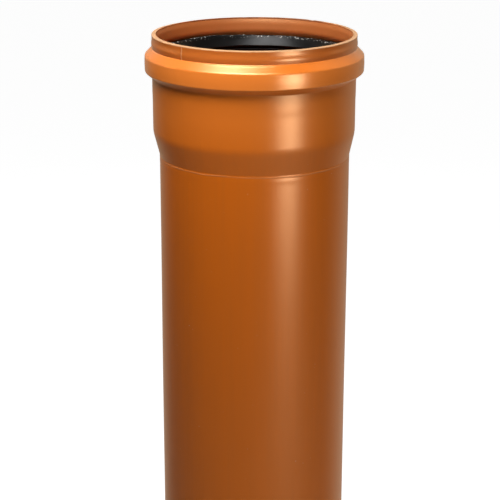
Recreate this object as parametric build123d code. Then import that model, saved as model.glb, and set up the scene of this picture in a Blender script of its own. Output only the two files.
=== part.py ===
from build123d import *
import os
from math import cos, hypot, radians, tan

# Plastic sewer pipe, 110 mm outside diameter, standing on its spigot end with its socket up.
# Millimetres. The origin is the middle of the spigot end, and +Z runs up the pipe's axis.

os.makedirs("parts", exist_ok=True)

# Barrel: the pipe as it leaves the extruder
barrel_diameter = 110.0
barrel_wall = 3.2
laying_length = 500.0

# Spigot end: a bevel that finds its way past the next pipe's seal
bevel_length = 6.0
bevel_angle = 15.0

# Socket: the pipe's own end, heated and formed over a mandrel, so its wall is thinner
spigot_clearance = 0.3
socket_wall = 3.0
socket_depth = 55.5
shoulder_angle = 13.5
shoulder_top_round = 19.0
shoulder_foot_round = 3.0
inner_shoulder_foot_round = 6.0

# Ring bead: the outward fold that holds the seal
bead_height = 4.25
bead_face_length = 9.0
bead_crown = 0.4
bead_upper_angle = 40.0
bead_lower_angle = 50.0
bead_cove_round = 4.0
bead_upper_round = 1.2
bead_lower_round = 1.5
groove_mouth_round = 1.5

# Collar: the short straight mouth above the bead
mouth_clearance = 0.5
collar_length = 6.6
rim_fall = 0.4
rim_outer_round = 0.5
lead_in_length = 1.8
lead_in_depth = 0.5

# Seal: a rubber ring seated in the groove, with a lip that leans in and down
seal_clearance = 0.2
nose_rise = 1.9
nose_overhang = 0.35
lip_squeeze = 2.35
lip_height = 5.7
lip_tip_width = 0.9
lip_root_width = 1.8
lip_root_drop = 3.6
waist_depth = 1.1
heel_clearance = 0.5
heel_drop = 1.9
heel_height = 2.6
seal_edge_bevel = 0.3

# Radii and heights that follow from the sizes above
barrel_radius = barrel_diameter / 2
bore_radius = barrel_radius - barrel_wall
socket_bore_radius = barrel_radius + spigot_clearance
socket_radius = socket_bore_radius + socket_wall
mouth_radius = barrel_radius + mouth_clearance
collar_radius = mouth_radius + socket_wall
lead_in_radius = mouth_radius + lead_in_depth
bead_radius = collar_radius + bead_height
bead_edge_radius = bead_radius - bead_crown
groove_edge_radius = bead_edge_radius - socket_wall
groove_radius = bead_radius - socket_wall

rim_height = laying_length + socket_depth
bead_top = rim_height - collar_length
face_top = bead_top - (bead_edge_radius - collar_radius) / tan(radians(bead_upper_angle))
face_foot = face_top - bead_face_length
bead_foot = face_foot - (bead_edge_radius - socket_radius) / tan(radians(bead_lower_angle))
shoulder_top = laying_length
shoulder_foot = shoulder_top - (socket_radius - barrel_radius) / tan(radians(shoulder_angle))

# The inner wall runs parallel to the outer one, so each corner shifts by a half-angle
upper_shift = socket_wall * tan(radians(bead_upper_angle / 2))
lower_shift = socket_wall * tan(radians(bead_lower_angle / 2))
shoulder_shift = socket_wall * tan(radians(shoulder_angle / 2))
groove_top = bead_top - upper_shift
groove_face_top = face_top - upper_shift
groove_face_foot = face_foot + lower_shift
groove_foot = bead_foot + lower_shift
inner_shoulder_top = shoulder_top + shoulder_shift
inner_shoulder_drop = (socket_bore_radius - bore_radius) / tan(radians(shoulder_angle))
inner_shoulder_foot = inner_shoulder_top - inner_shoulder_drop

# The seal's back follows the groove at the clearance, and its heel stays clear of a spigot
seal_top = groove_face_top + nose_rise
seal_upper_gap = seal_clearance / cos(radians(bead_upper_angle))
seal_lower_gap = seal_clearance / cos(radians(bead_lower_angle))
seal_back_radius = groove_edge_radius - seal_clearance
seal_back_top = groove_face_top - seal_clearance * tan(radians(bead_upper_angle / 2))
seal_back_foot = groove_face_foot + seal_clearance * tan(radians(bead_lower_angle / 2))
nose_inner = mouth_radius - nose_overhang
tip_inner = barrel_radius - lip_squeeze
nose_outer = mouth_radius + (groove_top - seal_top) * tan(radians(bead_upper_angle)) - seal_upper_gap
heel_inner = barrel_radius + heel_clearance
heel_foot = groove_face_foot - heel_drop
heel_top = heel_foot + heel_height
heel_rise = heel_foot - groove_foot
heel_outer = socket_bore_radius + heel_rise * tan(radians(bead_lower_angle)) - seal_lower_gap
waist_inner = heel_inner + waist_depth


def nearest(face, across, up):
    """Finds the corner of a flat section that lies nearest a radius and a height."""
    return face.vertices().sort_by_distance((across, 0, up))[0]


def rounded(face, corners):
    """Rounds corners of a flat section, each given as its radius, its height and its rounding."""
    for across, up, rounding in corners:
        face = fillet(nearest(face, across, up), rounding)
    return face


def section(*edges):
    """Fills a closed outline drawn in the XZ plane."""
    return make_face(Wire(list(edges)))


def outline(points):
    """Joins points, given as radius and height, with straight lines."""
    spots = [(across, 0, up) for across, up in points]
    return [Line(start, end) for start, end in zip(spots, spots[1:])]


def crown(edge_radius, crown_radius, top, foot):
    """Draws the slightly bulged face of the bead, or of the groove behind it."""
    middle = (top + foot) / 2
    return ThreePointArc((edge_radius, 0, top), (crown_radius, 0, middle), (edge_radius, 0, foot))


def pipe_envelope():
    """Makes the solid that the outside of the pipe encloses."""
    bevel_depth = bevel_length * tan(radians(bevel_angle))
    upper = outline([
        (0, 0),
        (0, rim_height),
        (lead_in_radius, rim_height),
        (collar_radius, rim_height - rim_fall),
        (collar_radius, bead_top),
        (bead_edge_radius, face_top),
    ])
    lower = outline([
        (bead_edge_radius, face_foot),
        (socket_radius, bead_foot),
        (socket_radius, shoulder_top),
        (barrel_radius, shoulder_foot),
        (barrel_radius, bevel_length),
        (barrel_radius - bevel_depth, 0),
        (0, 0),
    ])
    face = section(*upper, crown(bead_edge_radius, bead_radius, face_top, face_foot), *lower)
    face = rounded(face, [
        (collar_radius, rim_height - rim_fall, rim_outer_round),
        (collar_radius, bead_top, bead_cove_round),
        (bead_edge_radius, face_top, bead_upper_round),
        (bead_edge_radius, face_foot, bead_lower_round),
        (socket_radius, shoulder_top, shoulder_top_round),
        (barrel_radius, shoulder_foot, shoulder_foot_round),
    ])
    return revolve(face, Axis.Z)


def pipe_hollow():
    """Makes the space inside the pipe, with the seal's groove and the lead-in at the mouth."""
    upper = outline([
        (0, 0),
        (0, rim_height),
        (lead_in_radius, rim_height),
        (mouth_radius, rim_height - lead_in_length),
        (mouth_radius, groove_top),
        (groove_edge_radius, groove_face_top),
    ])
    lower = outline([
        (groove_edge_radius, groove_face_foot),
        (socket_bore_radius, groove_foot),
        (socket_bore_radius, inner_shoulder_top),
        (bore_radius, inner_shoulder_foot),
        (bore_radius, 0),
        (0, 0),
    ])
    back = crown(groove_edge_radius, groove_radius, groove_face_top, groove_face_foot)
    face = section(*upper, back, *lower)
    face = rounded(face, [
        (mouth_radius, groove_top, groove_mouth_round),
        (socket_bore_radius, inner_shoulder_top, shoulder_top_round - socket_wall),
        (bore_radius, inner_shoulder_foot, inner_shoulder_foot_round),
    ])
    return revolve(face, Axis.Z)


def pipe():
    """Makes the one-piece pipe: barrel, bevelled spigot, shoulder, socket, bead and collar."""
    return pipe_envelope() - pipe_hollow()


def sealing_ring():
    """Makes the rubber seal: a body in the groove, a nose, a lip leaning inwards and a heel."""
    lip_reach = nose_inner - tip_inner
    slant = hypot(lip_reach, lip_height)
    across = lip_height / slant
    down = lip_reach / slant
    tip = (tip_inner, seal_top - lip_height)
    tip_back = (tip_inner + lip_tip_width * across, tip[1] - lip_tip_width * down)
    root_front = nose_inner - lip_reach * lip_root_drop / lip_height
    root_height = seal_top - lip_root_drop - lip_root_width * down
    inside = outline([
        (nose_outer, seal_top),
        (nose_inner, seal_top),
        tip,
        tip_back,
        (root_front + lip_root_width * across, root_height),
        (waist_inner, root_height),
        (waist_inner, heel_top),
        (heel_inner, heel_top),
        (heel_inner, heel_foot),
        (heel_outer, heel_foot),
        (seal_back_radius, seal_back_foot),
    ])
    crown_radius = groove_radius - seal_clearance
    back = crown(seal_back_radius, crown_radius, seal_back_top, seal_back_foot)
    top = outline([(seal_back_radius, seal_back_top), (nose_outer, seal_top)])
    face = section(*inside, back, *top)
    for corner in [(nose_inner, seal_top), tip, tip_back, (heel_inner, heel_top)]:
        face = chamfer(nearest(face, *corner), seal_edge_bevel)
    return revolve(face, Axis.Z)


nodes = {
    "pipe": pipe(),
    "sealing_ring": sealing_ring(),
}
for name, solid in nodes.items():
    export_step(solid, f"parts/{name}.step")
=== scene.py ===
from math import cos, pi, radians, sin, tan

import bpy
import numpy as np
from mathutils import Matrix, Vector


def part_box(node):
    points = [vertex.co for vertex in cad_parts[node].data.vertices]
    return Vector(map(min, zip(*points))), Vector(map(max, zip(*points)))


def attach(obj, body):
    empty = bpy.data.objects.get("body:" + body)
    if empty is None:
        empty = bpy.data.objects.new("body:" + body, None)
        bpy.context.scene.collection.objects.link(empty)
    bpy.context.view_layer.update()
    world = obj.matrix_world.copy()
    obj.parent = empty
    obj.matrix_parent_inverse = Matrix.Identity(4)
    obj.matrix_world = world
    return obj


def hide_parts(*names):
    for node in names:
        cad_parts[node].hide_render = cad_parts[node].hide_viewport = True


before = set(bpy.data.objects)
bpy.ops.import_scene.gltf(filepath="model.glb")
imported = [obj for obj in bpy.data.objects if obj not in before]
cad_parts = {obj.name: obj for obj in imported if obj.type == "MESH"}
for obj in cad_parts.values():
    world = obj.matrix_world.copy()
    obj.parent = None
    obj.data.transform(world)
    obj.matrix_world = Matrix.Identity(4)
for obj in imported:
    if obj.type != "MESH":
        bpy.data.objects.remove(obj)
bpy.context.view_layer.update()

MM = 0.001

# Camera, fitted to the photographed edges: millimetres from the axis and above the rim, and degrees
CAMERA_DISTANCE = 875.24
CAMERA_ABOVE_RIM = 148.86
CAMERA_PITCH = 17.630
CAMERA_YAW = 0.152
CAMERA_ROLL = 0.104
# The focal length and the photo's side in pixels, and the sensor's width in millimetres
FOCAL_PIXELS = 1548.9
PHOTO_SIDE = 500
SENSOR_WIDTH = 36.0

# Pipe, in millimetres and degrees: the sizes of the modelled part
BARREL_RADIUS = 55.0
BARREL_WALL = 3.2
SOCKET_WALL = 3.0
SPIGOT_BEVEL_LENGTH = 6.0
SPIGOT_BEVEL_ANGLE = 15.0
SPIGOT_CLEARANCE = 0.3
SHOULDER_ANGLE = 13.5
SOCKET_DEPTH = 55.5
MOUTH_CLEARANCE = 0.5
LEAD_IN_DEPTH = 0.5
COLLAR_LENGTH = 6.6
BEAD_HEIGHT = 4.25
BEAD_SLOPE_HEIGHT = 4.588
BEAD_FACE_LENGTH = 9.0
BEAD_UNDERCUT_HEIGHT = 3.39
BEAD_UPPER_ANGLE = 40.0
BEAD_LOWER_ANGLE = 50.0
SHOULDER_TOP_ROUND = 19.0
SHOULDER_FOOT_ROUND = 3.0
INNER_SHOULDER_FOOT_ROUND = 6.0

# Where the photo shows the pipe a little differently, and its small roundings, in millimetres
BEAD_CROWN = 0.2
COLLAR_FOOT_DROP = 0.5
RIM_FALL = 0.1
LEAD_IN_LENGTH = 2.9
RIM_INNER_ROUND = 0.15
RIM_OUTER_ROUND = 0.25
COLLAR_FOOT_ROUND = 0.5
FACE_TOP_ROUND = 1.7
CROWN_ROUND = 45.0
FACE_FOOT_ROUND = 1.0
BEAD_FOOT_ROUND = 0.8
BEVEL_ROUND = 1.0
SPIGOT_END_ROUND = 0.2
GROOVE_ROUND = 0.6
GROOVE_MOUTH_ROUND = 4.0
LEAD_IN_ROUND = 8.0
# The rim's sawn inner edge curls inwards by this much over this height, with this rounding at its foot
CURL = 0.05
CURL_HEIGHT = 0.85
CURL_ROUND = 0.3
# The bead is this much slimmer, which keeps it within the box of the modelled part's facets
BEAD_TRIM = 0.06
# The photographed rim stands this much higher over its bead than the modelled one. The meshes keep to
# the modelled height, so everything below the rim is that much lower.
RIM_LIFT = 0.45

# Radii and heights that follow from the sizes above
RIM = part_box("pipe")[1].z / MM
BORE_RADIUS = BARREL_RADIUS - BARREL_WALL
SOCKET_BORE = BARREL_RADIUS + SPIGOT_CLEARANCE
SOCKET_RADIUS = SOCKET_BORE + SOCKET_WALL
MOUTH_RADIUS = BARREL_RADIUS + MOUTH_CLEARANCE
COLLAR_RADIUS = MOUTH_RADIUS + SOCKET_WALL
LEAD_IN_RADIUS = MOUTH_RADIUS + LEAD_IN_DEPTH
BEAD_RADIUS = COLLAR_RADIUS + BEAD_HEIGHT - BEAD_TRIM
BEAD_EDGE = BEAD_RADIUS - BEAD_CROWN
GROOVE_EDGE = BEAD_EDGE - SOCKET_WALL
GROOVE_RADIUS = BEAD_RADIUS - SOCKET_WALL
BEAD_TOP = RIM - RIM_LIFT - COLLAR_LENGTH
COLLAR_FOOT = BEAD_TOP - COLLAR_FOOT_DROP
FACE_TOP = BEAD_TOP - BEAD_SLOPE_HEIGHT
FACE_FOOT = FACE_TOP - BEAD_FACE_LENGTH
BEAD_FOOT = FACE_FOOT - BEAD_UNDERCUT_HEIGHT
SHOULDER_TOP = RIM - RIM_LIFT - SOCKET_DEPTH
SHOULDER_FOOT = SHOULDER_TOP - (SOCKET_RADIUS - BARREL_RADIUS) / tan(radians(SHOULDER_ANGLE))
UPPER_SHIFT = SOCKET_WALL * tan(radians(BEAD_UPPER_ANGLE / 2))
LOWER_SHIFT = SOCKET_WALL * tan(radians(BEAD_LOWER_ANGLE / 2))
SHOULDER_SHIFT = SOCKET_WALL * tan(radians(SHOULDER_ANGLE / 2))
GROOVE_TOP = BEAD_TOP - UPPER_SHIFT
GROOVE_FACE_TOP = FACE_TOP - UPPER_SHIFT
GROOVE_FACE_FOOT = FACE_FOOT + LOWER_SHIFT
GROOVE_FOOT = BEAD_FOOT + LOWER_SHIFT

# Seal, in millimetres: the sizes of the modelled part
SEAL_CLEARANCE = 0.2
NOSE_RISE = 1.9
NOSE_OVERHANG = 0.35
LIP_SQUEEZE = 2.35
LIP_HEIGHT = 5.7
LIP_TIP_WIDTH = 0.9
LIP_ROOT_WIDTH = 1.8
LIP_ROOT_DROP = 3.6
WAIST_DEPTH = 1.1
HEEL_CLEARANCE = 0.5
HEEL_DROP = 1.9
HEEL_HEIGHT = 2.6
NOSE_OUTER_ROUND = 0.25
NOSE_INNER_ROUND = 0.55
LIP_TIP_ROUND = 0.3
LIP_ROOT_ROUND = 0.6
WAIST_ROUND = 0.3
HEEL_ROUND = 0.4
SEAL_BACK_ROUND = 0.3
SEAL_TOP = GROOVE_FACE_TOP + NOSE_RISE

# How fine the meshes are: columns round, and rows in millimetres and radians
PIPE_COLUMNS = 340
SCORE_COLUMNS = 17
SEAL_COLUMNS = 360
PIPE_ROWS = dict(longest=28.0, turn_step=radians(9), guard=0.25)
SEAL_ROWS = dict(longest=0.7, turn_step=radians(15), guard=0.12)
LEAST_ARC_STEPS = 3
# The outside's runs come first in the pipe's section. Their rows lie closer from one height to another,
# at this step.
OUTSIDE_RUNS = 10
LAND_FOOT = BEAD_TOP - 27.7
FINE_BANDS = [
    (SHOULDER_FOOT - 6, SHOULDER_FOOT + 1.5, 0.6),
    (SHOULDER_FOOT - 2.2, SHOULDER_FOOT + 0.4, 0.12),
    (LAND_FOOT - 3, LAND_FOOT + 3, 1.0),
    (COLLAR_FOOT - 1.0, COLLAR_FOOT + 0.8, 0.12),
    (COLLAR_FOOT, RIM, 0.5),
]

# Fine forms that only these meshes have, in millimetres and degrees round the pipe
# Rings round the outside: height, reach up and down, and how far out or, below zero, in
OUTSIDE_RINGS = {
    "collar's waist": (RIM - 2.2, 1.2, -0.08),
    "collar's flare": (RIM - 5.1, 1.4, 0.20),
    "groove at the collar's foot": (COLLAR_FOOT + 0.25, 0.3, -0.10),
    "ridge at the top of the bead's slope": (COLLAR_FOOT - 0.45, 0.25, 0.07),
    "swell below the shoulder": (SHOULDER_FOOT - 3.2, 1.6, 0.07),
}
# The socket stands out by this much from the land's foot up to the bead
LAND_HEIGHT = 0.12
LAND_SLOPE = 2.5
LAND_TOP = BEAD_FOOT + 0.5
LAND_TOP_FADE = 2.0
# The wavering ridge where the heated end met the cold barrel
CREASE_DROP = 0.9
CREASE_WOBBLE = 0.22
CREASE_RIDGE = 0.16
CREASE_RIDGE_WIDTH = 0.34
CREASE_UNEVENNESS = 0.25
# A score line down the collar. Below the collar it goes on at this share of its height. The mesh's
# columns lie closer within this many of its widths.
SCORE_ANGLE = -132.5
SCORE_HEIGHT = 0.16
SCORE_WIDTH = 0.35
SCORE_FADE = 1.0
SCORE_BELOW_COLLAR = 0.22
SCORE_FINE_REACH = 2.24
# The bead is tilted, fading out below it and above it
BEAD_TILT = 0.12
TILT_FADE_BELOW = 4.0
TILT_FADE_ABOVE = 2.5
# The sawn rim: low waves and one low stretch, which fade between these depths below it, and which
# grow from this radius to the outside
RIM_WAVE = 0.05
RIM_DIP = 0.42
RIM_DIP_PLACE = 118.0
RIM_DIP_REACH = 32.0
RIM_FADE_FOOT = 1.0
RIM_FADE_TOP = 0.3
RIM_OUTER_PART = LEAD_IN_RADIUS + 0.8
# Chips in the sawn rim: place, half width and depth
RIM_CHIPS = [
    (53.8, 1.3, 0.25),
    (42.0, 1.8, 0.10),
    (18.0, 1.0, 0.20),
    (-20.0, 1.0, 0.12),
    (-64.0, 0.9, 0.10),
    (-111.0, 0.8, 0.10),
    (-148.0, 1.1, 0.14),
    (152.0, 1.2, 0.12),
    (96.0, 1.0, 0.10),
]
# How much slimmer than a true circle the heated end came out, at each height
SLIMMED = [
    (SHOULDER_FOOT - 110, 0.0),
    (SHOULDER_FOOT - 10, 0.06),
    (SHOULDER_TOP - 6, 0.16),
    (SHOULDER_TOP + 6, 0.10),
    (BEAD_FOOT - 1, 0.12),
    (BEAD_FOOT + 1, 0.0),
]
# How far the pipe's axis strays sideways, at each height: the heated end was formed a little off it
STRAYED = [
    (SHOULDER_FOOT - 250, 0.0),
    (SHOULDER_FOOT - 140, -0.04),
    (SHOULDER_FOOT - 45, 0.24),
    (SHOULDER_FOOT, 0.20),
    (SHOULDER_TOP, -0.12),
    (BEAD_FOOT, -0.14),
    (FACE_FOOT, 0.0),
]
# The seal's waves, and the stretch of its nose that isn't pushed fully home, whose reach is in radians
NOSE_DEPTHS = (SEAL_TOP - 2.5, SEAL_TOP - 0.2)
NOSE_RADII = (MOUTH_RADIUS + 2.0, MOUTH_RADIUS + 0.5)
NOSE_WAVE = 0.10
LIP_RADII = (BARREL_RADIUS + 0.2, BARREL_RADIUS - 1.8)
LIP_WAVE = 0.22
LIP_RISE_WAVE = 0.25
PROUD_RISE = 0.9
PROUD_PLACE = 116.0
PROUD_REACH = 0.30

# How matt the outside is, at each height: extruded barrel, formed socket, and from the bead's face up
# what a polished mould pressed
OUTSIDE_ROUGHNESS = [
    (SHOULDER_FOOT, 0.30),
    (SHOULDER_TOP, 0.31),
    (BEAD_FOOT - 0.5, 0.32),
    (BEAD_FOOT, 0.48),
    (FACE_FOOT - 2, 0.48),
    (FACE_FOOT - 1, 0.25),
    (COLLAR_FOOT - 0.5, 0.25),
    (COLLAR_FOOT + 0.5, 0.26),
]
INSIDE_ROUGHNESS = 0.5

# Where the pipe's colour changes, in millimetres and degrees round, and by which share
SAWN_DEPTH = 0.25
SAWN_BEVEL_MARGIN = 0.1
SAWN_MARGIN = 0.05
# The sawn rim is darker on its far side: the middle of that stretch, its reach and its fade
RIM_DARK_MIDDLE = 88.0
RIM_DARK_REACH = 46.0
RIM_DARK_FADE = 8.0
SCORE_WEAR = 0.6
# Painted highlight: a pale line along the crease's ridge, left off round this place
CREASE_PAINTED_HIGHLIGHT = 0.42
CREASE_UNLIT_PLACE = 185.0
CREASE_UNLIT_REACH = 32.0
# Painted reflection: a pale line along the bead's lower edge, standing in for the bright floor mirrored
# there, left off at the front
EDGE_PAINTED_REFLECTION = 0.45
EDGE_REFLECTION_HEIGHT = FACE_FOOT - 0.55
EDGE_REFLECTION_WIDTH = 0.5
EDGE_UNLIT_PLACE = -78.0
EDGE_UNLIT_REACH = 50.0
# Painted light on the bead: where it fades out at the collar's foot, its share on the slope, and the
# heights over which the slope takes that share
BEAD_PAINTED_LIGHT_FADE = 0.3
BEAD_PAINTED_LIGHT_ON_SLOPE = 0.15
BEAD_PAINTED_LIGHT_SLOPE = (FACE_TOP - 0.2, FACE_TOP + 0.6)
# Painted light: the socket grows lighter than the barrel between these heights round the shoulder's top
SOCKET_PAINTED_LIGHT_HEIGHTS = (SHOULDER_TOP - 3, SHOULDER_TOP + 8)
# Painted shade: the collar's share of the inner wall's darker colour
COLLAR_PAINTED_SHADE = 0.6
POWDER_REACH = 0.7
POWDER_RADIUS = MOUTH_RADIUS + 1.5

# Colours as linear red, green and blue
PVC = (0.65, 0.135, 0.0045, 1)
PVC_DEEP = (0.62, 0.131, 0.0060, 1)
# Painted light: the socket lighter than the barrel below it, standing in for the light that falls off down
# the pipe
PVC_SOCKET_PAINTED_LIGHT = (0.69, 0.162, 0.0140, 1)
# Painted shade and sheen: the inner wall near the mouth and the collar darker, and with more blue
PVC_PAINTED_SHADE = (0.45, 0.125, 0.028, 1)
# Pale colour of the sawn faces, also used for the painted highlight on the crease and the painted
# reflection on the bead's lower edge
PVC_SAWN_AND_PAINTED_HIGHLIGHT = (0.53, 0.30, 0.15, 1)
PVC_RIM_DARK = (0.26, 0.070, 0.020, 1)
# Painted light: the bead lighter than the rest of the pipe, standing in for the brighter light on it
PVC_BEAD_PAINTED_LIGHT = (0.82, 0.214, 0.029, 1)
PVC_DUST = (0.75, 0.55, 0.38, 1)
RUBBER = (0.005, 0.005, 0.005, 1)
TALC = (0.80, 0.78, 0.72, 1)
WHITE = (1, 1, 1, 1)

# Gloss of the surfaces, and the heights of their fine forms in millimetres
PVC_IOR = 1.8
PVC_GLOSS = 1.0
PVC_GLOSS_TINT = (1.0, 0.62, 0.33, 1)
SAWN_ROUGHER = 0.2
RUBBER_GLOSS = 0.23
STREAKS_HEIGHT = 0.015
PEEL_HEIGHT = 0.012
GRIT_HEIGHT = 0.015
RUBBER_LUMPS_HEIGHT = 0.04

# Noises: features to the metre, and how many times as many up the pipe
STREAKS = 430
STREAKS_ALONG = 0.03
CLOUD = 28
CLOUD_ALONG = 0.35
DUST = 700
SAW_GRAIN = 1500
PEEL = 260
GRIT = 2600
TALC_SPECKS = 900
RUBBER_CLOUD = 180
RUBBER_LUMPS = 500
# From which value of a noise to which its effect grows, and what the effect grows from and to
TONE_SPREAD = (0.38, 0.62, 0, 1)
DUST_SPREAD = (0.80, 0.83, 0, 0.6)
SAW_GRAIN_SPREAD = (0.3, 0.7, 0.75, 1.0)
TALC_SPREAD = (0.63, 0.67, 0, 1)
RUBBER_ROUGHNESS_SPREAD = (0.3, 0.7, 0.30, 0.37)

# Stage: the floor's reach is in metres
FLOOR_REACH = 8.0
FLOOR_COLOUR = (0.5, 0.5, 0.5, 1)
FLOOR_GLOW = 0.96
WORLD_LIGHT = 0.03
# The pipe's sheen sees a bright floor on the side that this direction points to, between these shares,
# and a bright backdrop behind the pipe
FLOOR_SHEEN_SIDE = (0.2, 1.0, 0.0)
FLOOR_SHEEN_START = 0.3
FLOOR_SHEEN_FULL = 0.85
FLOOR_SHEEN = 0.58
BACKDROP_SHEEN_FULL = 0.1
BACKDROP_SHEEN = 0.8
SHEEN_TINT = (1.0, 0.80, 0.56, 1)

# Softboxes: degrees round from the camera's side and above the level, then metres away, wide and high,
# and the radiance. Each is aimed at the axis, this many metres below the rim if it names no other drop.
AIM_DROP = 0.015
SOFTBOXES = {
    "key_wide": dict(around=-27, above=58, away=0.70, width=0.72, height=0.25, radiance=6.5),
    "key_left": dict(around=-60, above=52, away=0.45, width=0.34, height=0.26, radiance=0.9),
    "key_middle": dict(around=-11, above=50, away=0.40, width=0.28, height=0.26, radiance=4.2),
    "near_front": dict(around=-24, above=48, away=0.20, width=0.11, height=0.08, radiance=4.9, drop=0.03),
    "strip_soft": dict(around=33, above=0, away=1.10, width=0.26, height=0.28, radiance=5.2, drop=0.20),
    "strip_right": dict(around=43.5, above=0, away=1.10, width=0.26, height=0.28, radiance=7.2, drop=0.20),
    "back_left": dict(around=-160, above=25, away=1.5, width=0.6, height=0.6, radiance=1.0),
    "back_right": dict(around=160, above=25, away=1.5, width=0.6, height=0.6, radiance=1.2),
}

# The Mix node's sockets that carry colours
MIX_FIRST = 6
MIX_SECOND = 7
MIX_RESULT = 2


# Profiles and turned meshes

def arc_points(before, corner, after, rounding, turn_step):
    """Points round one corner of a profile, from one tangent point to the other."""
    corner, before, after = (np.array(point, float) for point in (corner, before, after))
    to_before = (before - corner) / np.linalg.norm(before - corner)
    to_after = (after - corner) / np.linalg.norm(after - corner)
    half = np.arccos(np.clip(to_before @ to_after, -1, 1)) / 2
    turn = pi - 2 * half
    bisector = to_before + to_after
    middle = corner + bisector / np.linalg.norm(bisector) * rounding / sin(half)
    reach = rounding / tan(half)
    start = corner + to_before * reach - middle
    end = corner + to_after * reach - middle
    count = max(LEAST_ARC_STEPS, int(np.ceil(turn / turn_step)))
    steps = np.linspace(0, 1, count + 1)
    return [middle + (sin((1 - t) * turn) * start + sin(t * turn) * end) / sin(turn) for t in steps]


def run_cuts(start, end, longest, guard, bands):
    """Where a straight run of a profile is cut, as shares of its length.

    No piece is over longest, or over a fine band's step within its heights. A short guard piece beside
    each corner keeps the shading of the long faces flat."""
    run = np.linalg.norm(end - start)
    cuts = set(np.linspace(0, 1, int(np.ceil(run / longest)) + 1))
    for low, high, step in bands:
        first, last = np.clip((np.array([low, high]) - start[1]) / (end[1] - start[1]), 0, 1)
        pieces = int(np.ceil(abs(last - first) * run / step))
        cuts |= set(np.linspace(first, last, pieces + 1))
    margin = min(guard, run / 3) / run
    cuts |= {margin, 1 - margin}
    return [t for t in sorted(cuts) if margin / 2 < t < 1 - margin / 2]


def profile(corners, longest, turn_step, guard, fine_bands=(), fine_runs=0):
    """A closed profile of radius and height from corners (radius, height, rounding), with fine bands on
    its first fine_runs runs."""
    count = len(corners)
    arcs = []
    for i, (across, up, rounding) in enumerate(corners):
        before = corners[i - 1][:2]
        after = corners[(i + 1) % count][:2]
        arcs.append(arc_points(before, (across, up), after, rounding, turn_step))
    points = []
    for i, arc in enumerate(arcs):
        start, end = arc[-1], arcs[(i + 1) % count][0]
        bands = fine_bands if i < fine_runs else ()
        points.extend(arc)
        points.extend(start + (end - start) * t for t in run_cuts(start, end, longest, guard, bands))
    return np.array(points)


def lathe(name, points, angles, relief, sway=None):
    """Turns a closed profile about the axis. relief gives how far each vertex moves outwards and up,
    and sway how far the axis strays sideways at each height."""
    rows, columns = len(points), len(angles)
    across = np.repeat(points[:, :1], columns, axis=1)
    up = np.repeat(points[:, 1:], columns, axis=1)
    out, rise = relief(angles[None, :], across, up)
    across, up = across + out, up + rise
    aside = sway(up) if sway else 0
    co = np.stack([across * np.cos(angles) + aside, across * np.sin(angles), up], axis=2) * MM
    index = np.arange(rows * columns).reshape(rows, columns)
    below = np.roll(index, -1, axis=0)
    quads = np.stack([index, below, np.roll(below, -1, axis=1), np.roll(index, -1, axis=1)], axis=2)
    mesh = bpy.data.meshes.new(name)
    mesh.from_pydata(co.reshape(-1, 3).tolist(), [], quads.reshape(-1, 4).tolist())
    mesh.shade_smooth()
    obj = bpy.data.objects.new(name, mesh)
    bpy.context.scene.collection.objects.link(obj)
    return obj


def store(obj, name, values, rows, columns):
    """Keeps one number for each vertex, for a material to read."""
    layer = obj.data.attributes.new(name, "FLOAT", "POINT")
    full = np.broadcast_to(values, (rows, columns))
    layer.data.foreach_set("value", np.ascontiguousarray(full, np.float32).ravel())


def smooth_step(value, low, high):
    """From 0 at low to 1 at high, with soft ends."""
    share = np.clip((value - low) / (high - low), 0, 1)
    return share * share * (3 - 2 * share)


def bump_at(value, middle, width):
    """A bell, 1 high at its middle."""
    return np.exp(-(((value - middle) / width) ** 2))


def by_height(up, steps):
    """Reads a list of (height, value) at any height, in straight lines between them."""
    heights, values = zip(*steps)
    return np.interp(up, heights, values)


def wave(angle, orders, seed):
    """A smooth wave round the pipe, about one high, with those numbers of periods."""
    draw = np.random.default_rng(seed)
    total = np.zeros(np.shape(angle))
    for order in orders:
        total = total + np.cos(order * angle + draw.uniform(0, 2 * pi)) * draw.uniform(0.6, 1.0)
    return total / np.sqrt(len(orders))


def angle_from(angle, degrees_round):
    """The signed angle from a place round the pipe, in radians."""
    return (angle - radians(degrees_round) + pi) % (2 * pi) - pi


# Pipe

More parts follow.
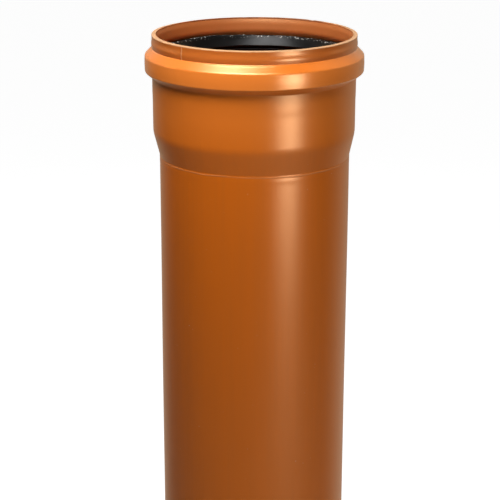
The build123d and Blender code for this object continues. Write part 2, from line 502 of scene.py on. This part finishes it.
def pipe_corners():
    """The pipe's section: from the rim down the outside, and up the inside."""
    bevel = SPIGOT_BEVEL_LENGTH * tan(radians(SPIGOT_BEVEL_ANGLE))
    inner_top = SHOULDER_TOP + SHOULDER_SHIFT
    inner_foot = inner_top - (SOCKET_BORE - BORE_RADIUS) / tan(radians(SHOULDER_ANGLE))
    face_middle = (FACE_TOP + FACE_FOOT) / 2
    return [
        (LEAD_IN_RADIUS, RIM, RIM_INNER_ROUND),
        (COLLAR_RADIUS, RIM - RIM_FALL, RIM_OUTER_ROUND),
        (COLLAR_RADIUS, COLLAR_FOOT, COLLAR_FOOT_ROUND),
        (BEAD_EDGE, FACE_TOP, FACE_TOP_ROUND),
        (BEAD_RADIUS, face_middle, CROWN_ROUND),
        (BEAD_EDGE, FACE_FOOT, FACE_FOOT_ROUND),
        (SOCKET_RADIUS, BEAD_FOOT, BEAD_FOOT_ROUND),
        (SOCKET_RADIUS, SHOULDER_TOP, SHOULDER_TOP_ROUND),
        (BARREL_RADIUS, SHOULDER_FOOT, SHOULDER_FOOT_ROUND),
        (BARREL_RADIUS, SPIGOT_BEVEL_LENGTH, BEVEL_ROUND),
        (BARREL_RADIUS - bevel, 0, SPIGOT_END_ROUND),
        (BORE_RADIUS, 0, SPIGOT_END_ROUND),
        (BORE_RADIUS, inner_foot, INNER_SHOULDER_FOOT_ROUND),
        (SOCKET_BORE, inner_top, SHOULDER_TOP_ROUND - SOCKET_WALL),
        (SOCKET_BORE, GROOVE_FOOT, GROOVE_ROUND),
        (GROOVE_EDGE, GROOVE_FACE_FOOT, GROOVE_ROUND),
        (GROOVE_RADIUS, face_middle, CROWN_ROUND),
        (GROOVE_EDGE, GROOVE_FACE_TOP, GROOVE_ROUND),
        (MOUTH_RADIUS, GROOVE_TOP, GROOVE_MOUTH_ROUND),
        (MOUTH_RADIUS, RIM - LEAD_IN_LENGTH, LEAD_IN_ROUND),
        (LEAD_IN_RADIUS + CURL, RIM - CURL_HEIGHT, CURL_ROUND),
    ]


def is_outside(across, up):
    """Whether a point of the section is on the pipe's outer side: beyond a line within the wall."""
    within = SOCKET_WALL / 2
    within_bevelled_end = 1.8
    wall_line = by_height(up, [
        (0, BARREL_RADIUS - within_bevelled_end),
        (SHOULDER_FOOT, BARREL_RADIUS - within),
        (SHOULDER_TOP, SOCKET_RADIUS - within),
    ])
    bead_line = by_height(up, [
        (BEAD_FOOT, SOCKET_RADIUS - within),
        (FACE_FOOT, BEAD_EDGE - within),
        (FACE_TOP, BEAD_EDGE - within),
        (BEAD_TOP, COLLAR_RADIUS - within),
    ])
    at_bead = (up > BEAD_FOOT) & (up < GROOVE_TOP)
    return across > np.where(at_bead, bead_line, wall_line)


def crease_share(angle, up):
    """How near a point is to the wavering line where the heated end met the cold barrel."""
    crease = SHOULDER_FOOT - CREASE_DROP + CREASE_WOBBLE * wave(angle, (3, 7, 12, 19), seed=4)
    strength = 1 - CREASE_UNEVENNESS + CREASE_UNEVENNESS * wave(angle, (5, 11, 23), seed=5)
    return bump_at(up, crease, CREASE_RIDGE_WIDTH) * strength


def score_share(angle):
    """How near a place round the pipe is to the score line."""
    return bump_at(angle_from(angle, SCORE_ANGLE) * COLLAR_RADIUS, 0, SCORE_WIDTH)


def outside_relief(angle, up):
    """How far the outside stands out: rings, the land under the bead, the crease and the score line."""
    rings = sum(size * bump_at(up, height, reach) for height, reach, size in OUTSIDE_RINGS.values())
    land = LAND_HEIGHT * smooth_step(up, LAND_FOOT - LAND_SLOPE, LAND_FOOT + LAND_SLOPE)
    land = land * smooth_step(up, LAND_TOP + LAND_TOP_FADE, LAND_TOP)
    ridge = CREASE_RIDGE * crease_share(angle, up)
    on_collar = smooth_step(up, RIM - COLLAR_LENGTH - SCORE_FADE, RIM - COLLAR_LENGTH)
    score = SCORE_HEIGHT * (on_collar + SCORE_BELOW_COLLAR) * score_share(angle)
    return rings + land + ridge + score


def rim_loss(angle, across, up):
    """How far the sawn rim lies below its true height: low waves, one low stretch and chips."""
    waves = RIM_WAVE * np.abs(wave(angle, (29, 47, 71, 104), seed=7))
    dip = RIM_DIP * bump_at(angle_from(angle, RIM_DIP_PLACE), 0, radians(RIM_DIP_REACH))
    loss = (waves + dip) * smooth_step(across, RIM_OUTER_PART, COLLAR_RADIUS)
    for place, half_width, depth in RIM_CHIPS:
        loss = loss + depth * bump_at(angle_from(angle, place) * COLLAR_RADIUS, 0, half_width)
    return loss * smooth_step(RIM - up, RIM_FADE_FOOT, RIM_FADE_TOP)


def pipe_relief(angle, across, up):
    """The pipe's fine forms: how far each vertex moves outwards and up."""
    outside = is_outside(across, up)
    out = np.where(outside, outside_relief(angle, up), 0) - by_height(up, SLIMMED)
    at_bead = smooth_step(up, BEAD_FOOT - TILT_FADE_BELOW, BEAD_FOOT)
    at_bead = at_bead * smooth_step(up, COLLAR_FOOT + TILT_FADE_ABOVE, COLLAR_FOOT)
    tilt = BEAD_TILT * np.cos(angle) * at_bead * outside
    return out, tilt - rim_loss(angle, across, up)


def pipe_sway(up):
    """How far the pipe's axis strays sideways."""
    return by_height(up, STRAYED)


def pipe_angles():
    """Even columns round the pipe, and closer ones at the score line."""
    even = np.linspace(0, 2 * pi, PIPE_COLUMNS, endpoint=False)
    reach = SCORE_FINE_REACH * SCORE_WIDTH / COLLAR_RADIUS
    fine = radians(SCORE_ANGLE % 360) + np.linspace(-reach, reach, SCORE_COLUMNS)
    apart = np.min(np.abs(even[:, None] - fine[None, :]), axis=1)
    spacing = fine[1] - fine[0]
    return np.sort(np.concatenate([even[apart > spacing], fine]))


def rim_dark_share(angle, up):
    """Where the sawn rim is darker: on its far side."""
    away = np.abs(angle_from(angle, RIM_DARK_MIDDLE))
    far = smooth_step(away, radians(RIM_DARK_REACH + RIM_DARK_FADE), radians(RIM_DARK_REACH - RIM_DARK_FADE))
    return far * (up > RIM - CURL_HEIGHT)


def pale_share(angle, across, up, outside):
    """Where the plastic is pale: the sawn faces and the score line. It also holds painted light: a painted
    highlight on the crease and a painted reflection on the bead's lower edge."""
    sawn_rim = (up > RIM - RIM_FALL - SAWN_DEPTH) & (across > LEAD_IN_RADIUS + SAWN_MARGIN)
    bevelled = outside & (up < SPIGOT_BEVEL_LENGTH + SAWN_BEVEL_MARGIN)
    sawn_end = up < SAWN_MARGIN
    pale = (sawn_rim | bevelled | sawn_end) * (1 - rim_dark_share(angle, up))
    scored = SCORE_WEAR * score_share(angle) * (outside & (up > COLLAR_FOOT))
    # Painted highlight along the crease, left off on one side
    unlit = bump_at(angle_from(angle, CREASE_UNLIT_PLACE), 0, radians(CREASE_UNLIT_REACH))
    crease = CREASE_PAINTED_HIGHLIGHT * crease_share(angle, up) * outside * (1 - unlit)
    # Painted reflection along the bead's lower edge, left off at the front
    unlit = bump_at(angle_from(angle, EDGE_UNLIT_PLACE), 0, radians(EDGE_UNLIT_REACH))
    edge_reflection = EDGE_PAINTED_REFLECTION * bump_at(up, EDGE_REFLECTION_HEIGHT, EDGE_REFLECTION_WIDTH) * outside * (1 - unlit)
    return np.max([pale, scored, crease, edge_reflection], axis=0)


def bead_painted_light_share(up, outside):
    """Painted light: how much lighter the bead is coloured, less so on its slope, standing in for the
    brighter light on the bead.
    """
    bead_painted_light = outside * smooth_step(up, BEAD_FOOT, FACE_FOOT)
    bead_painted_light = bead_painted_light * smooth_step(up, COLLAR_FOOT + BEAD_PAINTED_LIGHT_FADE, COLLAR_FOOT - BEAD_PAINTED_LIGHT_FADE)
    return bead_painted_light * (1 - (1 - BEAD_PAINTED_LIGHT_ON_SLOPE) * smooth_step(up, *BEAD_PAINTED_LIGHT_SLOPE))


def make_pipe():
    """The pipe, with the numbers that its material reads at each vertex."""
    points = profile(pipe_corners(), **PIPE_ROWS, fine_bands=FINE_BANDS, fine_runs=OUTSIDE_RUNS)
    angles = pipe_angles()
    pipe = lathe("plastic_pipe", points, angles, pipe_relief, pipe_sway)
    across, up = points[:, :1], points[:, 1:]
    angle = angles[None, :]
    outside = is_outside(across, up)
    on_collar = outside & (up > COLLAR_FOOT)
    shares = {
        "surface_roughness": np.where(outside, by_height(up, OUTSIDE_ROUGHNESS), INSIDE_ROUGHNESS),
        # Pale colour of the sawn faces and the score line, with painted highlight and painted reflection
        "pale": pale_share(angle, across, up, outside),
        "rim_dark": rim_dark_share(angle, up),
        # Painted light on the bead
        "bead_painted_light": bead_painted_light_share(up, outside),
        # Painted light on the socket
        "socket_painted_light": (outside & ~on_collar) * smooth_step(up, *SOCKET_PAINTED_LIGHT_HEIGHTS),
        "drawn": smooth_step(up, SHOULDER_TOP, SHOULDER_FOOT),
        # Painted shade and sheen on the inner wall near the mouth, and on the collar at a share
        "painted_shade": np.where(outside, COLLAR_PAINTED_SHADE * on_collar, smooth_step(up, BEAD_FOOT, BEAD_TOP)),
    }
    for name, values in shares.items():
        store(pipe, name, values, len(points), len(angles))
    pipe.data.materials.append(make_pvc())
    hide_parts("pipe")
    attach(pipe, "root")


# Seal

def seal_corners():
    """The seal's section: nose, lip leaning in and down, waist, heel, and the back in the groove."""
    upper_gap = SEAL_CLEARANCE / cos(radians(BEAD_UPPER_ANGLE))
    lower_gap = SEAL_CLEARANCE / cos(radians(BEAD_LOWER_ANGLE))
    nose_inner = MOUTH_RADIUS - NOSE_OVERHANG
    nose_outer = MOUTH_RADIUS + (GROOVE_TOP - SEAL_TOP) * tan(radians(BEAD_UPPER_ANGLE)) - upper_gap
    tip = np.array([BARREL_RADIUS - LIP_SQUEEZE, SEAL_TOP - LIP_HEIGHT])
    lean = np.array([tip[0] - nose_inner, -LIP_HEIGHT])
    lean = lean / np.linalg.norm(lean)
    through = np.array([-lean[1], lean[0]])
    tip_back = tip + through * LIP_TIP_WIDTH
    root = np.array([nose_inner, SEAL_TOP]) + lean * LIP_ROOT_DROP / -lean[1] + through * LIP_ROOT_WIDTH
    heel_inner = BARREL_RADIUS + HEEL_CLEARANCE
    waist = heel_inner + WAIST_DEPTH
    heel_foot = GROOVE_FACE_FOOT - HEEL_DROP
    heel_top = heel_foot + HEEL_HEIGHT
    heel_outer = SOCKET_BORE + (heel_foot - GROOVE_FOOT) * tan(radians(BEAD_LOWER_ANGLE)) - lower_gap
    back = GROOVE_EDGE - SEAL_CLEARANCE
    return [
        (nose_outer, SEAL_TOP, NOSE_OUTER_ROUND),
        (nose_inner, SEAL_TOP, NOSE_INNER_ROUND),
        (tip[0], tip[1], LIP_TIP_ROUND),
        (tip_back[0], tip_back[1], LIP_TIP_ROUND),
        (root[0], root[1], LIP_ROOT_ROUND),
        (waist, root[1], WAIST_ROUND),
        (waist, heel_top, WAIST_ROUND),
        (heel_inner, heel_top, HEEL_ROUND),
        (heel_inner, heel_foot, HEEL_ROUND),
        (heel_outer, heel_foot, SEAL_BACK_ROUND),
        (back, GROOVE_FACE_FOOT, SEAL_BACK_ROUND),
        (back, GROOVE_FACE_TOP, SEAL_BACK_ROUND),
    ]


def seal_relief(angle, across, up):
    """How the soft ring strays from a true circle: its nose and its lip wave, and one stretch stands
    proud."""
    nose = smooth_step(up, *NOSE_DEPTHS) * smooth_step(across, *NOSE_RADII)
    lip = smooth_step(across, *LIP_RADII) * smooth_step(up, SEAL_TOP, SEAL_TOP - LIP_HEIGHT)
    proud = PROUD_RISE * bump_at(angle_from(angle, PROUD_PLACE), 0, PROUD_REACH)
    rise = nose * (proud + NOSE_WAVE * wave(angle, (5, 9, 14, 22), seed=11))
    rise = rise + lip * LIP_RISE_WAVE * wave(angle, (4, 7, 13), seed=12)
    out = lip * LIP_WAVE * wave(angle, (3, 8, 11), seed=13)
    out = out + nose * NOSE_WAVE * wave(angle, (6, 10, 17), seed=14)
    return out, rise


def make_seal():
    """The seal, with the share of powder at each vertex."""
    points = profile(seal_corners(), **SEAL_ROWS)
    angles = np.linspace(0, 2 * pi, SEAL_COLUMNS, endpoint=False)
    seal = lathe("rubber_seal", points, angles, seal_relief)
    across, up = points[:, :1], points[:, 1:]
    powder = bump_at(up, SEAL_TOP, POWDER_REACH) * (across < POWDER_RADIUS)
    store(seal, "powder", powder, len(points), SEAL_COLUMNS)
    seal.data.materials.append(make_rubber())
    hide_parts("sealing_ring")
    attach(seal, "root")


# Materials

class Shading:
    """A node tree, with short ways to add the nodes that these looks use."""

    def __init__(self, tree):
        tree.nodes.clear()
        self.tree = tree
        self.coordinates = self.add("ShaderNodeTexCoord").outputs

    def add(self, kind):
        """A new node."""
        return self.tree.nodes.new(kind)

    def link(self, value, socket):
        """Feeds a socket from another node, or sets it where value is a number, a vector or a colour."""
        if isinstance(value, bpy.types.NodeSocket):
            self.tree.links.new(value, socket)
        else:
            socket.default_value = value

    def attribute(self, name):
        """The number that each vertex keeps under that name."""
        node = self.add("ShaderNodeAttribute")
        node.attribute_name = name
        return node.outputs["Fac"]

    def math(self, operation, first, second, clamp=False):
        """The result of an operation on two numbers."""
        node = self.add("ShaderNodeMath")
        node.operation = operation
        node.use_clamp = clamp
        self.link(first, node.inputs[0])
        self.link(second, node.inputs[1])
        return node.outputs[0]

    def noise(self, scale, along=1, detail=2):
        """Noise with that many features to the metre, and with along times as many up the pipe."""
        mapping = self.add("ShaderNodeMapping")
        mapping.inputs["Scale"].default_value = [scale, scale, scale * along]
        self.link(self.coordinates["Object"], mapping.inputs["Vector"])
        node = self.add("ShaderNodeTexNoise")
        node.inputs["Scale"].default_value = 1.0
        node.inputs["Detail"].default_value = detail
        self.link(mapping.outputs[0], node.inputs["Vector"])
        return node.outputs["Fac"]

    def remap(self, value, low, high, to_low, to_high):
        """Turns the stretch from low to high into one from to_low to to_high, and clamps at its ends."""
        node = self.add("ShaderNodeMapRange")
        node.clamp = True
        ends = {"From Min": low, "From Max": high, "To Min": to_low, "To Max": to_high}
        for socket, number in ends.items():
            self.link(number, node.inputs[socket])
        self.link(value, node.inputs["Value"])
        return node.outputs["Result"]

    def mix(self, share, first, second):
        """The first colour where the share is 0, and the second where it is 1."""
        node = self.add("ShaderNodeMix")
        node.data_type = "RGBA"
        self.link(share, node.inputs["Factor"])
        self.link(first, node.inputs[MIX_FIRST])
        self.link(second, node.inputs[MIX_SECOND])
        return node.outputs[MIX_RESULT]

    def bump(self, height, millimetres, normal=None):
        """A normal tilted as if the surface rose by that much where height is 1."""
        node = self.add("ShaderNodeBump")
        node.inputs["Strength"].default_value = 1.0
        node.inputs["Distance"].default_value = millimetres * MM
        self.link(height, node.inputs["Height"])
        if normal is not None:
            self.link(normal, node.inputs["Normal"])
        return node.outputs["Normal"]


def start_material(name):
    """A material with a Principled shader: the material, its shading and the shader's inputs."""
    material = bpy.data.materials.new(name)
    material.use_nodes = True
    s = Shading(material.node_tree)
    shader = s.add("ShaderNodeBsdfPrincipled")
    s.link(shader.outputs[0], s.add("ShaderNodeOutputMaterial").inputs[0])
    return material, s, shader.inputs


def make_pvc():
    """Orange-brown plastic: drawn streaks, dust, and the tones that the vertices ask for, painted light
    and painted shade among them.
    """
    material, s, surface = start_material("pvc_orange_brown")
    streaks = s.noise(STREAKS, along=STREAKS_ALONG, detail=1)
    cloud = s.noise(CLOUD, along=CLOUD_ALONG)
    half_streaks, half_cloud = (s.math("MULTIPLY", noise, 0.5) for noise in (streaks, cloud))
    tone = s.remap(s.math("ADD", half_streaks, half_cloud), *TONE_SPREAD)
    colour = s.mix(tone, PVC, PVC_DEEP)
    dust = s.remap(s.noise(DUST, detail=1), *DUST_SPREAD)
    colour = s.mix(dust, colour, PVC_DUST)
    # Painted light: the socket lighter than the barrel
    colour = s.mix(s.attribute("socket_painted_light"), colour, PVC_SOCKET_PAINTED_LIGHT)
    # Painted light: the bead lighter still
    colour = s.mix(s.attribute("bead_painted_light"), colour, PVC_BEAD_PAINTED_LIGHT)
    # Painted shade and sheen on the inner wall near the mouth and on the collar
    colour = s.mix(s.attribute("painted_shade"), colour, PVC_PAINTED_SHADE)
    colour = s.mix(s.attribute("rim_dark"), colour, PVC_RIM_DARK)
    # Pale colour of the sawn faces and the score line, and the painted highlight and painted reflection
    pale = s.attribute("pale")
    saw_grain = s.remap(s.noise(SAW_GRAIN, detail=3), *SAW_GRAIN_SPREAD)
    colour = s.mix(s.math("MULTIPLY", pale, saw_grain), colour, PVC_SAWN_AND_PAINTED_HIGHLIGHT)
    s.link(colour, surface["Base Color"])
    rougher = s.math("MULTIPLY", pale, SAWN_ROUGHER)
    s.link(s.math("ADD", s.attribute("surface_roughness"), rougher, clamp=True), surface["Roughness"])
    surface["IOR"].default_value = PVC_IOR
    surface["Specular IOR Level"].default_value = PVC_GLOSS
    surface["Specular Tint"].default_value = PVC_GLOSS_TINT
    lines = s.bump(s.math("MULTIPLY", streaks, s.attribute("drawn")), STREAKS_HEIGHT)
    peel = s.bump(s.noise(PEEL), PEEL_HEIGHT, normal=lines)
    grit = s.bump(s.noise(GRIT), GRIT_HEIGHT, normal=peel)
    s.link(grit, surface["Normal"])
    return material


def make_rubber():
    """Black rubber with specks of mounting powder along the top of its nose."""
    material, s, surface = start_material("black_rubber")
    specks = s.remap(s.noise(TALC_SPECKS, detail=1), *TALC_SPREAD)
    powder = s.math("MULTIPLY", specks, s.attribute("powder"), clamp=True)
    s.link(s.mix(powder, RUBBER, TALC), surface["Base Color"])
    roughness = s.remap(s.noise(RUBBER_CLOUD, detail=3), *RUBBER_ROUGHNESS_SPREAD)
    s.link(roughness, surface["Roughness"])
    surface["Specular IOR Level"].default_value = RUBBER_GLOSS
    s.link(s.bump(s.noise(RUBBER_LUMPS, detail=3), RUBBER_LUMPS_HEIGHT), surface["Normal"])
    return material


# Stage, lamps and camera

def seen_brightness(s, ray, sheen):
    """1 where the camera looks straight at it, and the sheen's brightness where the pipe mirrors it."""
    mirrored = s.math("MULTIPLY", ray["Is Glossy Ray"], sheen)
    return s.math("MAXIMUM", ray["Is Camera Ray"], mirrored)


def seen_colour(s, ray):
    """White where the camera looks straight at it, and the sheen's tint where the pipe mirrors it."""
    return s.mix(ray["Is Glossy Ray"], WHITE, SHEEN_TINT)


def make_floor_material():
    """A grey that takes the pipe's shadow, and a glow that only the camera and the pipe's sheen see."""
    material = bpy.data.materials.new("white_floor")
    material.use_nodes = True
    s = Shading(material.node_tree)
    ray = s.add("ShaderNodeLightPath").outputs
    direction = s.add("ShaderNodeVectorMath")
    direction.operation = "NORMALIZE"
    s.link(s.coordinates["Object"], direction.inputs[0])
    towards = s.add("ShaderNodeVectorMath")
    towards.operation = "DOT_PRODUCT"
    s.link(direction.outputs["Vector"], towards.inputs[0])
    s.link(FLOOR_SHEEN_SIDE, towards.inputs[1])
    sheen = s.remap(towards.outputs["Value"], FLOOR_SHEEN_START, FLOOR_SHEEN_FULL, 0, FLOOR_SHEEN)
    glow = s.add("ShaderNodeEmission")
    s.link(s.math("MULTIPLY", seen_brightness(s, ray, sheen), FLOOR_GLOW), glow.inputs["Strength"])
    s.link(seen_colour(s, ray), glow.inputs["Color"])
    grey = s.add("ShaderNodeBsdfDiffuse")
    grey.inputs["Color"].default_value = FLOOR_COLOUR
    both = s.add("ShaderNodeAddShader")
    s.link(grey.outputs[0], both.inputs[0])
    s.link(glow.outputs[0], both.inputs[1])
    s.link(both.outputs[0], s.add("ShaderNodeOutputMaterial").inputs[0])
    return material


def make_floor():
    """The flat floor that the pipe stands on."""
    reach = FLOOR_REACH
    mesh = bpy.data.meshes.new("floor")
    corners = [(-reach, -reach, 0), (reach, -reach, 0), (reach, reach, 0), (-reach, reach, 0)]
    mesh.from_pydata(corners, [], [(0, 1, 2, 3)])
    mesh.materials.append(make_floor_material())
    floor = bpy.data.objects.new("floor", mesh)
    bpy.context.scene.collection.objects.link(floor)


def make_world():
    """A backdrop that is white to the camera, bright to the pipe's sheen, and faint otherwise."""
    world = bpy.data.worlds.new("white_studio")
    world.use_nodes = True
    s = Shading(world.node_tree)
    ray = s.add("ShaderNodeLightPath").outputs
    split = s.add("ShaderNodeSeparateXYZ")
    s.link(s.coordinates["Generated"], split.inputs[0])
    sheen = s.remap(split.outputs["Y"], 0, BACKDROP_SHEEN_FULL, 0, BACKDROP_SHEEN)
    sky = s.add("ShaderNodeBackground")
    s.link(s.math("MAXIMUM", seen_brightness(s, ray, sheen), WORLD_LIGHT), sky.inputs["Strength"])
    s.link(seen_colour(s, ray), sky.inputs["Color"])
    s.link(sky.outputs[0], s.add("ShaderNodeOutputWorld").inputs[0])
    bpy.context.scene.world = world


def aim(place, target):
    """A matrix that puts a lamp at place and turns it to target."""
    back = (place - target).normalized()
    side = Vector((0, 0, 1)).cross(back).normalized()
    return Matrix.Translation(place) @ Matrix((side, back.cross(side), back)).transposed().to_4x4()


def add_softbox(name, around, above, away, width, height, radiance, drop=AIM_DROP):
    """A lamp that shines evenly over its area, and that the camera doesn't see."""
    target = Vector((0, 0, RIM * MM - drop))
    turn, rise = radians(around), radians(above)
    direction = Vector((sin(turn) * cos(rise), -cos(turn) * cos(rise), sin(rise)))
    lamp = bpy.data.lights.new(name, "AREA")
    lamp.shape = "RECTANGLE"
    lamp.size = width
    lamp.size_y = height
    lamp.energy = radiance * pi * width * height
    obj = bpy.data.objects.new(name, lamp)
    obj.matrix_world = aim(target + direction * away, target)
    obj.visible_camera = False
    bpy.context.scene.collection.objects.link(obj)


def make_camera():
    """The photo's camera, level but for its roll, looking down at the pipe."""
    yaw, pitch, roll = radians(CAMERA_YAW), radians(CAMERA_PITCH), radians(CAMERA_ROLL)
    forward = Vector((-sin(yaw) * cos(pitch), cos(yaw) * cos(pitch), -sin(pitch)))
    level_right = Vector((cos(yaw), sin(yaw), 0))
    level_up = level_right.cross(forward)
    right = cos(roll) * level_right + sin(roll) * level_up
    up = cos(roll) * level_up - sin(roll) * level_right
    data = bpy.data.cameras.new("camera")
    data.sensor_width = SENSOR_WIDTH
    data.lens = FOCAL_PIXELS * SENSOR_WIDTH / PHOTO_SIDE
    camera = bpy.data.objects.new("camera", data)
    place = Vector((0, -CAMERA_DISTANCE, RIM + CAMERA_ABOVE_RIM)) * MM
    camera.matrix_world = Matrix.Translation(place) @ Matrix((right, up, -forward)).transposed().to_4x4()
    bpy.context.scene.collection.objects.link(camera)
    bpy.context.scene.camera = camera


make_camera()
make_world()
make_floor()
for box_name, box in SOFTBOXES.items():
    add_softbox(box_name, **box)
make_pipe()
make_seal()
bpy.context.scene.view_settings.view_transform = "Standard"
